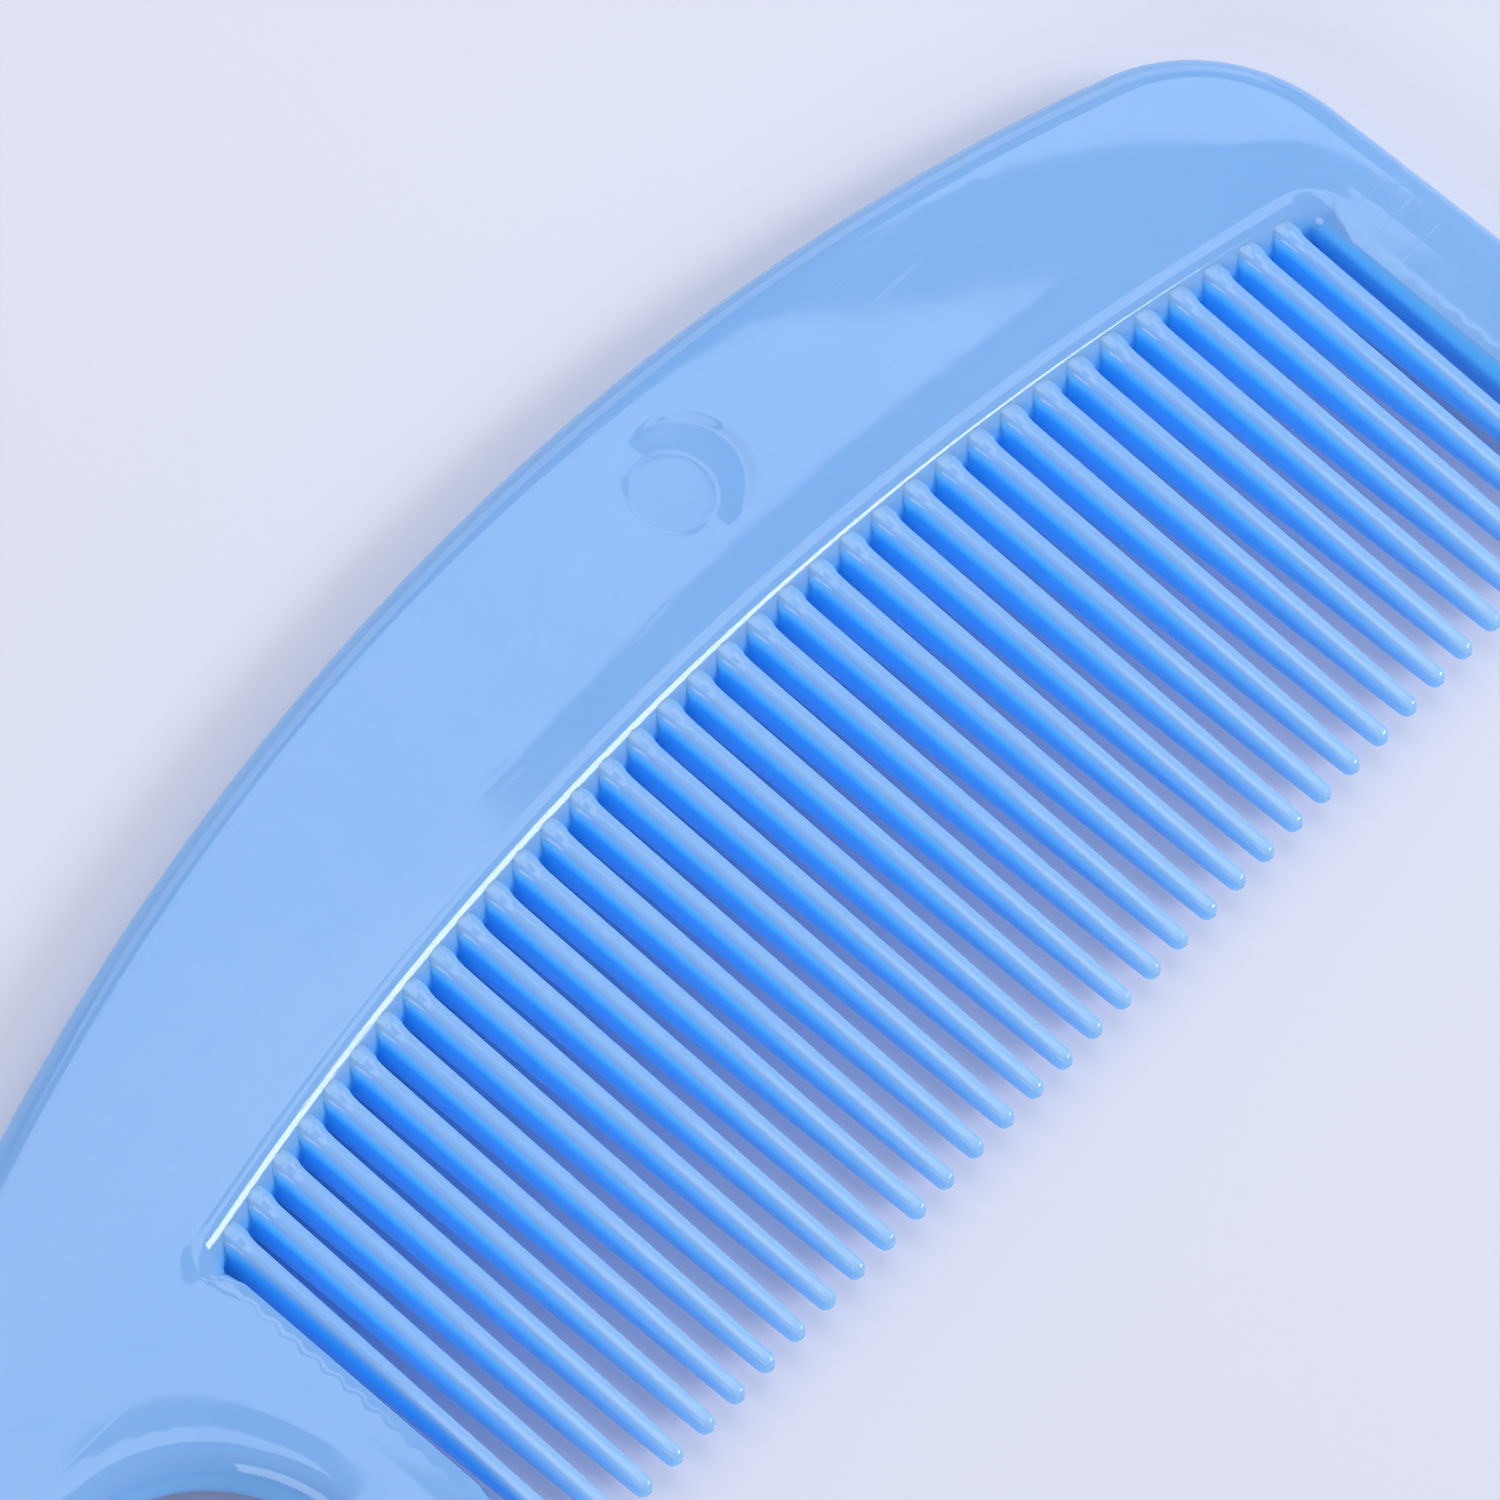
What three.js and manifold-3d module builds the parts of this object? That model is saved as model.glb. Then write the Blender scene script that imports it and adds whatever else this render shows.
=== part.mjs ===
// A grooming comb in light blue plastic: an arched spine with a toe guard, a heel,
// a finger hole and a handle, and a straight row of tapered teeth.
// Millimetres, +Z up. The comb lies flat: X runs from the handle to the toe, and the
// teeth point along -Y. The outline is drawn from the first tooth's axis (x = 0) and
// the line of the tooth tips (y = 0), and the finished group is centred at the end.
import * as THREE from 'three';
import { mergeVertices } from 'three/addons/utils/BufferGeometryUtils.js';
import Module from 'manifold-3d';

// ---- teeth ----
const TOOTH_COUNT = 36;
const TOOTH_PITCH = 2.6;
const LONGEST_TOOTH = 29.9; // from the tip line to the crown of the root arc
const TOOTH_ROOT_WIDTH = 1.55;
const TOOTH_ROOT_HEIGHT = 3.4;
const TOOTH_TIP_WIDTH = 1.02;
const TOOTH_TIP_HEIGHT = 1.3;
const TOOTH_SIDES = 8;
const TOOTH_SQUARENESS = 3.2; // 2 is an oval section, more is squarer

// ---- how a tooth is held: a tang in a socket of the spine ----
const TANG_LENGTH = 4;
const TANG_WIDTH = 0.9;
const TANG_HEIGHT = 1.9;
const SEAT_CLEARANCE = 0.3;

// ---- tooth field: the bay that the teeth stand in ----
const ROOT_ARC_RADIUS = 224;
const ROOT_CROWN_SHIFT = -3.5; // the crown of the root arc, from the middle of the row
const FIELD_MARGIN = 1.65; // from the axis of an end tooth to its guard
const FIELD_CORNER_RADIUS = 0.8;

// ---- spine and guards ----
const SPINE_WIDTH = 16.9; // from the crown of the root arc to the crown of the back
const BACK_CROWN_SHIFT = -0.7;
const BACK_RADIUS_HANDLE = 170;
const BACK_RADIUS_TOE = 150;
const TOE_GUARD_WIDTH = 7.7;
const TOE_CORNER_RADIUS = 11.8;
const TOE_LEAN = 0.45; // how far the toe's outer edge leans in at its corner
const GUARD_OVERHANG = 1; // the guards reach past the tooth tips
const GUARD_TIP_RADIUS = 3;
const HEEL_WIDTH = 7.25; // from the tooth field to the finger hole

// ---- finger hole and handle ----
const HOLE_RADIUS = 9.2;
const HOLE_HEIGHT = 11.2; // centre above the tip line
const RING_WIDTH = 6.6; // wall under the finger hole
const HANDLE_REACH = 66; // from the finger hole's centre to the end of the handle
const HANDLE_WIDTH = 19;
const HANDLE_AXIS_HEIGHT = 10; // at the end of the handle, above the tip line
const SHOULDER_REACH = 4; // the back arc runs on past the finger hole's centre
const RING_START = 1.25 * Math.PI; // where the handle's lower curve meets the ring
// Arms of the handle's curves: the longer an arm, the straighter the curve at that end.
const SHOULDER_ARM = 17;
const GRIP_TOP_ARM = 25;
const GRIP_UNDER_ARM = 20;
const RING_ARM = 12;

// ---- section ----
const BODY_THICKNESS = 5;
const PARTING_BAND = 0.4; // upright band between the rounded edges of the two halves
const EDGE_STEPS = 3;

// ---- gate mark: a shallow dish with a flat disc at its handle side ----
const DISH_RADIUS = 3.8;
const DISH_DEPTH = 0.25;
const DISC_RADIUS = 2.5;
const DISC_DEPTH = 0.4;
const MARK_RIM = 0.08; // what is left of the dish between its wall and the disc
const DISH_BELOW_BACK = 7.8;
const DISH_PAST_CROWN = 8.6;
const MARK_SIDES = 24;

const PLASTIC = new THREE.Color(0x8ebbf0);
const PLASTIC_ROUGHNESS = 0.22;
const ARC_STEP = 3; // chord length on the long arcs
const CORNER_STEP = 0.28; // radians, on the small ones
const CURVE_POINTS = 6;
const SAME_POINT = 1e-3;
const WELD_DISTANCE = 1e-4;
const UP = Math.PI / 2;
const HALF_TURN = Math.PI;
const DOWN = 1.5 * Math.PI;

// ---- values that follow from the ones above ----
const edgeRadius = (BODY_THICKNESS - PARTING_BAND) / 2;
const midHeight = BODY_THICKNESS / 2;
const rowLength = (TOOTH_COUNT - 1) * TOOTH_PITCH;
const fieldStart = -FIELD_MARGIN;
const fieldEnd = rowLength + FIELD_MARGIN;
const rootCrownX = rowLength / 2 + ROOT_CROWN_SHIFT;
const backCrownX = rowLength / 2 + BACK_CROWN_SHIFT;
const backCrownY = LONGEST_TOOTH + SPINE_WIDTH;
const toeX = fieldEnd + TOE_GUARD_WIDTH;
const holeX = fieldStart - HEEL_WIDTH - HOLE_RADIUS;
const ringRadius = HOLE_RADIUS + RING_WIDTH;
const lowestY = HOLE_HEIGHT - ringRadius;
const handleEndX = holeX - HANDLE_REACH;

// Height of a shallow arc that is highest at crownX.
function arcHeight(x, crownX, crownY, radius) {
  return crownY - radius + Math.sqrt(radius ** 2 - (x - crownX) ** 2);
}

const rootEdge = (x) => arcHeight(x, rootCrownX, LONGEST_TOOTH, ROOT_ARC_RADIUS);
const rootSlope = (x) => (rootCrownX - x) / Math.sqrt(ROOT_ARC_RADIUS ** 2 - (x - rootCrownX) ** 2);

function polar(radius, angle) {
  return new THREE.Vector2(radius * Math.cos(angle), radius * Math.sin(angle));
}

// Points of an arc about (cx, cy), both ends included, at even angles.
function arcPoints(cx, cy, radius, from, to, step) {
  const count = Math.max(2, Math.ceil(Math.abs(to - from) / step));
  return Array.from({ length: count + 1 }, (_, i) => {
    const angle = from + ((to - from) * i) / count;
    return new THREE.Vector2(cx, cy).add(polar(radius, angle));
  });
}

// A smooth curve between two points that leaves and arrives along the given arms.
function blendCurve(start, startArm, end, endArm, count) {
  const curve = new THREE.CubicBezierCurve(
    start,
    start.clone().add(startArm),
    end.clone().add(endArm),
    end,
  );
  return curve.getPoints(count);
}

// The toe guard: a round tip, an outer edge that leans in, and the corner that touches
// the back arc from inside.
function toeOutline() {
  const tipY = GUARD_TIP_RADIUS - GUARD_OVERHANG;
  const cornerX = toeX - TOE_LEAN - TOE_CORNER_RADIUS;
  const reach = BACK_RADIUS_TOE - TOE_CORNER_RADIUS;
  const rise = Math.sqrt(reach ** 2 - (cornerX - backCrownX) ** 2);
  const cornerY = backCrownY - BACK_RADIUS_TOE + rise;
  const outerEdge = new THREE.QuadraticBezierCurve(
    new THREE.Vector2(toeX, tipY),
    new THREE.Vector2(toeX, (tipY + cornerY) / 2),
    new THREE.Vector2(toeX - TOE_LEAN, cornerY),
  );
  const backAngle = Math.atan2(rise, cornerX - backCrownX);
  return [
    ...arcPoints(fieldEnd + GUARD_TIP_RADIUS, tipY, GUARD_TIP_RADIUS, HALF_TURN, DOWN, CORNER_STEP),
    ...arcPoints(toeX - GUARD_TIP_RADIUS, tipY, GUARD_TIP_RADIUS, DOWN, 2 * HALF_TURN, CORNER_STEP),
    ...outerEdge.getPoints(CURVE_POINTS),
    ...arcPoints(cornerX, cornerY, TOE_CORNER_RADIUS, 0, backAngle, CORNER_STEP),
    ...arcPoints(backCrownX, backCrownY - BACK_RADIUS_TOE, BACK_RADIUS_TOE,
      backAngle, UP, ARC_STEP / BACK_RADIUS_TOE),
  ];
}

// The back from its crown to the shoulder, the handle's upper curve, its round end and
// its lower curve, which meets the ring around the finger hole.
function handleOutline() {
  const shoulderX = holeX - SHOULDER_REACH;
  const shoulderAngle = Math.acos((shoulderX - backCrownX) / BACK_RADIUS_HANDLE);
  const back = arcPoints(backCrownX, backCrownY - BACK_RADIUS_HANDLE, BACK_RADIUS_HANDLE,
    UP, shoulderAngle, ARC_STEP / BACK_RADIUS_HANDLE);
  const downhill = new THREE.Vector2(-Math.sin(shoulderAngle), Math.cos(shoulderAngle));
  const gripRadius = HANDLE_WIDTH / 2;
  const gripX = handleEndX + gripRadius;
  const upper = blendCurve(
    back[back.length - 1],
    downhill.multiplyScalar(SHOULDER_ARM),
    new THREE.Vector2(gripX, HANDLE_AXIS_HEIGHT + gripRadius),
    new THREE.Vector2(GRIP_TOP_ARM, 0),
    2 * CURVE_POINTS,
  );
  const lower = blendCurve(
    new THREE.Vector2(gripX, HANDLE_AXIS_HEIGHT - gripRadius),
    new THREE.Vector2(GRIP_UNDER_ARM, 0),
    new THREE.Vector2(holeX, HOLE_HEIGHT).add(polar(ringRadius, RING_START)),
    polar(RING_ARM, RING_START - UP),
    2 * CURVE_POINTS,
  );
  return [
    ...back,
    ...upper,
    ...arcPoints(gripX, HANDLE_AXIS_HEIGHT, gripRadius, UP, DOWN, CORNER_STEP),
    ...lower,
  ];
}

// The ring under the finger hole and the heel, up to the heel's inner edge.
function heelOutline() {
  const ring = arcPoints(holeX, HOLE_HEIGHT, ringRadius, RING_START, DOWN, CORNER_STEP);
  const heel = blendCurve(
    ring[ring.length - 1],
    new THREE.Vector2(HOLE_RADIUS, 0),
    new THREE.Vector2(fieldStart, 2 * GUARD_TIP_RADIUS - GUARD_OVERHANG),
    new THREE.Vector2(0, -2 * GUARD_TIP_RADIUS),
    CURVE_POINTS,
  );
  return [...ring, ...heel];
}

// The edge that the teeth stand on: the root arc between two small inner corners.
function fieldOutline() {
  const radius = FIELD_CORNER_RADIUS;
  const startX = fieldStart + radius;
  const endX = fieldEnd - radius;
  const steps = Math.round((endX - startX) / ARC_STEP);
  const rootArc = Array.from({ length: steps - 1 }, (_, i) => {
    const x = THREE.MathUtils.lerp(startX, endX, (i + 1) / steps);
    return new THREE.Vector2(x, rootEdge(x));
  });
  return [
    ...arcPoints(startX, rootEdge(startX) - radius, radius, HALF_TURN, UP, CORNER_STEP),
    ...rootArc,
    ...arcPoints(endX, rootEdge(endX) - radius, radius, UP, 0, CORNER_STEP),
  ];
}

// The whole outline at the parting plane, counter-clockwise, each corner point once.
function outline() {
  const points = [...toeOutline(), ...handleOutline(), ...heelOutline(), ...fieldOutline()];
  return points.filter((point, i) => i === 0 || point.distanceTo(points[i - 1]) > SAME_POINT);
}

// ---- solids ----
const wasm = await Module();
wasm.setup();

// The same surface with each shared point once and fresh normals.
function weld(geometry) {
  const bare = geometry.clone();
  bare.deleteAttribute('normal');
  bare.deleteAttribute('uv');
  const merged = mergeVertices(bare, WELD_DISTANCE);
  merged.computeVertexNormals();
  return merged;
}

function toSolid(geometry) {
  const welded = weld(geometry);
  return new wasm.Manifold(new wasm.Mesh({
    numProp: 3,
    vertProperties: welded.attributes.position.array,
    triVerts: welded.index.array,
  }));
}

function toGeometry(solid) {
  const mesh = solid.getMesh();
  const geometry = new THREE.BufferGeometry();
  geometry.setAttribute('position', new THREE.BufferAttribute(mesh.vertProperties, 3));
  geometry.setIndex(new THREE.BufferAttribute(mesh.triVerts, 1));
  geometry.computeVertexNormals();
  return geometry;
}

// A round cutter that goes into the top face to a depth, and stands as far above it.
function faceCutter(x, y, radius, depth) {
  const cutter = new THREE.CylinderGeometry(radius, radius, 2 * depth, MARK_SIDES);
  cutter.rotateX(UP);
  cutter.translate(x, y, BODY_THICKNESS);
  return toSolid(cutter);
}

// A socket: the tang's oval grown by the clearance on all sides.
function socketCutter(x) {
  const depth = TANG_LENGTH + SEAT_CLEARANCE;
  const mouth = edgeRadius; // carries the cut well out past the edge
  const cutter = new THREE.CylinderGeometry(1, 1, depth + mouth, TOOTH_SIDES);
  cutter.scale(TANG_WIDTH / 2 + SEAT_CLEARANCE, 1, TANG_HEIGHT / 2 + SEAT_CLEARANCE);
  cutter.translate(x, rootEdge(x) + (depth - mouth) / 2, midHeight);
  return toSolid(cutter);
}

function bodyGeometry() {
  const shape = new THREE.Shape(outline());
  const hole = arcPoints(holeX, HOLE_HEIGHT, HOLE_RADIUS, 0, -2 * HALF_TURN, CORNER_STEP).slice(1);
  shape.holes.push(new THREE.Path(hole));
  const plate = new THREE.ExtrudeGeometry(shape, {
    depth: PARTING_BAND,
    steps: 1,
    bevelEnabled: true,
    bevelThickness: edgeRadius,
    bevelSize: edgeRadius,
    bevelOffset: -edgeRadius,
    bevelSegments: EDGE_STEPS,
  });
  plate.translate(0, 0, edgeRadius);
  let solid = toSolid(plate);
  for (let i = 0; i < TOOTH_COUNT; i += 1) {
    solid = solid.subtract(socketCutter(i * TOOTH_PITCH));
  }
  const dishX = backCrownX + DISH_PAST_CROWN;
  const dishY = backCrownY - DISH_BELOW_BACK;
  const discX = dishX - DISH_RADIUS + DISC_RADIUS + MARK_RIM;
  solid = solid.subtract(faceCutter(dishX, dishY, DISH_RADIUS, DISH_DEPTH));
  solid = solid.subtract(faceCutter(discX, dishY, DISC_RADIUS, DISC_DEPTH));
  return toGeometry(solid);
}

// The sine or cosine of a point of a squared oval, from that of the round one.
function squared(share) {
  return Math.sign(share) * Math.abs(share) ** (2 / TOOTH_SQUARENESS);
}

// A tooth along -Y with its shoulder at y = 0. Each row of the profile is a section: its
// half height, its half width and its place. The profile is turned, and each section is
// then shaped to its own oval. The tooth's sections are squared, and the tang's are not.
function toothGeometry(length) {
  const height = (y) => THREE.MathUtils.lerp(TOOTH_ROOT_HEIGHT, TOOTH_TIP_HEIGHT, -y / length);
  const width = (y) => THREE.MathUtils.lerp(TOOTH_ROOT_WIDTH, TOOTH_TIP_WIDTH, -y / length);
  const tipRound = TOOTH_TIP_HEIGHT / 2;
  const tipSide = TOOTH_TIP_WIDTH / 2;
  const sections = [
    [0, 0, -length],
    [tipRound * Math.SQRT1_2, tipSide * Math.SQRT1_2, -length + tipRound * (1 - Math.SQRT1_2)],
    [tipRound, tipSide, -length + tipRound],
    [height(-length / 2) / 2, width(-length / 2) / 2, -length / 2],
    [TOOTH_ROOT_HEIGHT / 2, TOOTH_ROOT_WIDTH / 2, 0],
    [TANG_HEIGHT / 2, TANG_WIDTH / 2, 0],
    [TANG_HEIGHT / 2, TANG_WIDTH / 2, TANG_LENGTH],
    [0, 0, TANG_LENGTH],
  ];
  const shoulder = 4; // the last section that is squared
  const profile = sections.map(([halfHeight, , y]) => new THREE.Vector2(halfHeight, y));
  const geometry = new THREE.LatheGeometry(profile, TOOTH_SIDES);
  const position = geometry.attributes.position;
  for (let i = 0; i < position.count; i += 1) {
    const [halfHeight, halfWidth] = sections[i % sections.length];
    const shape = i % sections.length <= shoulder ? squared : (share) => share;
    const across = halfHeight > 0 ? position.getX(i) / halfHeight : 0;
    const up = halfHeight > 0 ? position.getZ(i) / halfHeight : 0;
    position.setX(i, shape(across) * halfWidth);
    position.setZ(i, shape(up) * halfHeight);
  }
  return weld(geometry);
}

function plastic() {
  return new THREE.MeshStandardMaterial({
    color: PLASTIC,
    roughness: PLASTIC_ROUGHNESS,
    metalness: 0,
  });
}

// ---- assembly ----
const comb = new THREE.Group();
comb.position.set(-(handleEndX + toeX) / 2, -(lowestY + backCrownY) / 2, 0);

const body = new THREE.Mesh(bodyGeometry(), plastic());
body.name = 'comb_body';
comb.add(body);

// Each tooth runs from its shoulder to the straight tip line. The shoulder keeps the
// clearance to the sloping edge over the tooth's whole width.
for (let i = 0; i < TOOTH_COUNT; i += 1) {
  const x = i * TOOTH_PITCH;
  const gap = SEAT_CLEARANCE + (Math.abs(rootSlope(x)) * TOOTH_ROOT_WIDTH) / 2;
  const shoulderY = rootEdge(x) - gap;
  const tooth = new THREE.Mesh(toothGeometry(shoulderY), plastic());
  tooth.name = `tooth_${String(i + 1).padStart(2, '0')}`;
  tooth.position.set(x, shoulderY, midHeight);
  comb.add(tooth);
}

const assembly = new THREE.Group();
assembly.add(comb);

export default assembly;
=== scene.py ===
"""A grooming comb of glossy light blue plastic, lying flat on a pale table.

The comb is one moulding: an arched spine with a toe guard, a heel, a finger hole and a
handle, and a row of tapered teeth. It lies in the X-Y plane. The teeth point along -Y.
Flat outlines are held as complex numbers, x + iy, in metres. They are drawn from the
first tooth's axis (x = 0) and the line of the tooth tips (y = 0).
"""

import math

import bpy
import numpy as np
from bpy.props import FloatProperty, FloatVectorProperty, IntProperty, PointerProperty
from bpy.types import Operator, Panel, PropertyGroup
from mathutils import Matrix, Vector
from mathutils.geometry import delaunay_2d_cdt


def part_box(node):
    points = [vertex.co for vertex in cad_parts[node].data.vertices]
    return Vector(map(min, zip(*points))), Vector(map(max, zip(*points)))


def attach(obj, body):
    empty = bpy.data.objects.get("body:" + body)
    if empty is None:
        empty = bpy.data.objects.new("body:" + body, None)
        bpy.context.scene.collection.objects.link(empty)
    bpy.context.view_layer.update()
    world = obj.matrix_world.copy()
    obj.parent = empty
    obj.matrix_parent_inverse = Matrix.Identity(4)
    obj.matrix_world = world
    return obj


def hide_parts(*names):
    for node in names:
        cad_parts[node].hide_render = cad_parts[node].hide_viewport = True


bl_info = {
    "name": "Grooming Comb",
    "version": (1, 0, 0),
    "blender": (4, 5, 0),
    "location": "View3D > Sidebar > Comb",
    "description": "Builds a moulded plastic grooming comb on a lit table",
    "category": "Object",
}

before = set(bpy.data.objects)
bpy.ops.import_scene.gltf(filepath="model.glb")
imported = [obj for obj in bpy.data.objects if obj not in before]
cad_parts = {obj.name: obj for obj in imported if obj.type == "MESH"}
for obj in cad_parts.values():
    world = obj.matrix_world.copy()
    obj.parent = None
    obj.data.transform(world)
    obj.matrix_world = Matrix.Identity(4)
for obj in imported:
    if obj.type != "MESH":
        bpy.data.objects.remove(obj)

MM = 0.001
BODY_NODE = "comb_body"
TOOTH_NODES = sorted(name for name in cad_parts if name.startswith("tooth_"))
UP, HALF_TURN, DOWN = math.pi / 2, math.pi, 1.5 * math.pi


def first_tooth_origin():
    """Where the first tooth's axis crosses the line of the tips, as x + iy."""
    low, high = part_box(TOOTH_NODES[0])
    return complex((low.x + high.x) / 2, low.y)


ORIGIN = first_tooth_origin()
MID_HEIGHT = (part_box(BODY_NODE)[0].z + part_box(BODY_NODE)[1].z) / 2


# ---------------------------------------------------------------- sizes and colours


def length(name, millimetres, description):
    """A length property, given in millimetres and kept in metres."""
    return FloatProperty(name=name, description=description, default=millimetres * MM,
                         unit="LENGTH", precision=5)


class CombOutlineSizes(PropertyGroup):
    """The comb's flat outline."""

    root_radius: length("Root radius", 224, "Radius of the arc that the teeth stand on")
    root_crown_x: length("Root crown X", 42, "Crown of the root arc, from the first tooth")
    root_crown_y: length("Root crown Y", 29.9, "Crown of the root arc, above the tips")
    field_margin: length("Field margin", 1.65, "From an end tooth's axis to its guard")
    field_corner: length("Field corner", 0.8, "Radius of the tooth field's inner corners")
    back_crown_x: length("Back crown X", 44.8, "Crown of the back, from the first tooth")
    back_crown_y: length("Back crown Y", 46.8, "Crown of the back, above the tips")
    back_radius_handle: length("Back radius, handle", 170, "Back arc towards the handle")
    back_radius_toe: length("Back radius, toe", 150, "Back arc towards the toe")
    toe_width: length("Toe width", 7.7, "Width of the toe guard")
    toe_corner: length("Toe corner", 11.8, "Radius of the toe's outer corner")
    toe_lean: length("Toe lean", 0.45, "How far the toe's outer edge leans in")
    guard_overhang: length("Guard overhang", 1, "How far the guards reach past the tips")
    guard_tip: length("Guard tip", 3, "Radius of the guards' tips")
    heel_width: length("Heel width", 7.25, "From the tooth field to the finger hole")
    hole_radius: length("Hole radius", 9.2, "Radius of the finger hole at its throat")
    hole_y: length("Hole Y", 11.2, "Centre of the finger hole, above the tips")
    ring_width: length("Ring width", 6.6, "Wall under the finger hole")
    handle_reach: length("Handle reach", 66, "Finger hole's centre to the handle's end")
    handle_width: length("Handle width", 19, "Width of the handle's round end")
    handle_y: length("Handle Y", 10, "Handle's axis at its end, above the tips")


class CombSectionSizes(PropertyGroup):
    """The body's cross section and its gate mark."""

    thickness: length("Thickness", 5, "Thickness in the middle of the spine")
    edge_width: length("Edge width", 2.15, "Width of the rounded edge")
    guard_edge: length("Guard edge", 0.4, "Width of the guards' rounded inner edges")
    guard_square: FloatProperty(name="Guard squareness", default=2.0, min=2,
                                description="2 is a round edge, more is squarer")
    crown_drop: length("Crown drop", 0.22, "How much lower the faces are at the edge")
    crown_reach: length("Crown reach", 3.4, "How far in from the edge the faces fall")
    parting_band: length("Parting band", 0.25, "Upright band between the two halves")
    parting_ridge: length("Parting ridge", 0.025, "How far the parting line stands out")
    dish_x: length("Dish X", 53.4, "Middle of the gate dish, from the first tooth")
    dish_y: length("Dish Y", 39.1, "Middle of the gate dish, above the tips")
    dish_radius: length("Dish radius", 4.1, "Radius of the gate dish")
    dish_depth: length("Dish depth", 0.06, "Depth of the gate dish")
    dish_slope: FloatProperty(name="Dish slope", default=0.046, min=0, max=0.2,
                              description="How fast the dish deepens towards the toe")
    disc_radius: length("Disc radius", 2.52, "Radius of the disc in the gate dish")
    disc_depth: length("Disc depth", 0.05, "Depth of the disc's rim below the dish")


class CombToothSizes(PropertyGroup):
    """The teeth."""

    pitch: length("Pitch", 2.6, "Spacing of the teeth")
    root_width: length("Root width", 1.55, "Width of a tooth at its root")
    root_height: length("Root height", 3.5, "Height of a tooth at its root")
    tip_width: length("Tip width", 1.02, "Width of a tooth near its tip")
    tip_height: length("Tip height", 1.3, "Height of a tooth near its tip")
    root_flare: length("Root flare", 0.17, "How much a tooth widens into the spine")
    squareness: FloatProperty(name="Squareness", default=3.2, min=2,
                              description="2 is an oval section, more is squarer")
    root_cover: length("Root cover", 1.4, "How far a tooth runs on inside the spine")
    spread: length("Spread", 0.05, "How unevenly the tips stand")


class CombMeshSizes(PropertyGroup):
    """How finely the pieces are divided."""

    edge_step: length("Edge step", 0.6, "Spacing of points along the outline")
    face_step: length("Face step", 0.9, "Spacing of points on the faces")
    mark_step: length("Mark step", 0.15, "Spacing of points on the gate mark")
    edge_rows: IntProperty(name="Edge rows", default=12, min=3,
                           description="Rows of faces on half the rounded edge")
    tooth_sides: IntProperty(name="Tooth sides", default=32, min=8,
                             description="Faces around a tooth")
    tooth_rows: IntProperty(name="Tooth rows", default=34, min=8,
                            description="Faces along a tooth")


def colour(name, value, description):
    """A colour property."""
    return FloatVectorProperty(name=name, description=description, default=value, size=3,
                               subtype="COLOR", min=0, max=1)


class CombColours(PropertyGroup):
    """The plastic, the painted light and glow on its walls, and the table."""

    plastic: colour("Plastic", (0.23, 0.452, 0.83), "The blue plastic")
    plastic_deep: colour("Deep plastic", (0.213, 0.436, 0.835), "Where pigment is denser")
    # Painted light: walls and gap sides are mixed towards this brighter, more saturated blue by
    # their slope. It stands in for light that comes through the plastic.
    painted_wall_light: colour("Tooth sides", (0.15, 0.59, 1.0), "Deep blue inside the gaps")
    plastic_thin: colour("Thin plastic", (0.31, 0.545, 0.91), "At the thin tooth tips")
    # Painted glow: emission in this colour on the walls, and on the teeth's undersides, stands in
    # for light that comes through the plastic. The comb is no lamp.
    painted_glow_colour: colour("Light through plastic", (0.0, 0.25, 1.0),
                         "Colour of the light that comes out of the gap walls")
    table: colour("Table", (0.70, 0.725, 0.855), "The pale table")


# ---------------------------------------------------------------- flat outlines

ARC_TURN = 0.09  # radians between two points of an arc, at most
SAME_POINT = 0.002 * MM  # points of an outline that are closer than this are one


def arc(centre, radius, start, end, step):
    """Points of the circle centre + radius * e^(i angle), at even angles, start to end."""
    turn = abs(end - start)
    count = max(2, math.ceil(turn * radius / step), math.ceil(turn / ARC_TURN))
    return centre + radius * np.exp(1j * np.linspace(start, end, count + 1))


def line(start, end, step):
    """Even points of a straight line."""
    return np.linspace(start, end, max(2, math.ceil(abs(end - start) / step)) + 1)


def bend(start, leave, arrive, end, step):
    """A cubic curve from start to end that leaves towards one point and arrives from
    another: the sum of the four points, each weighted by its Bernstein polynomial."""
    t = np.linspace(0, 1, math.ceil(abs(end - start) / step) + 1)
    return ((1 - t) ** 3 * start + 3 * (1 - t) ** 2 * t * leave
            + 3 * (1 - t) * t ** 2 * arrive + t ** 3 * end)


def tangent_height(circle, radius, inner_radius, x):
    """Height of the centre, at x, of a small circle that touches a large one inside."""
    return circle.imag + math.sqrt((radius - inner_radius) ** 2 - (x - circle.real) ** 2)


def field_outline(o, field_end, step):
    """The edge that the teeth stand on: a corner, the root arc and the other corner."""
    circle = complex(o.root_crown_x, o.root_crown_y - o.root_radius)
    corners = [complex(x, tangent_height(circle, o.root_radius, o.field_corner, x))
               for x in (o.field_corner - o.field_margin, field_end - o.field_corner)]
    left, right = (float(np.angle(corner - circle)) for corner in corners)
    return [
        arc(corners[0], o.field_corner, HALF_TURN, left, step),
        arc(circle, o.root_radius, left, right, step),
        arc(corners[1], o.field_corner, right, 0, step),
    ]


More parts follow.
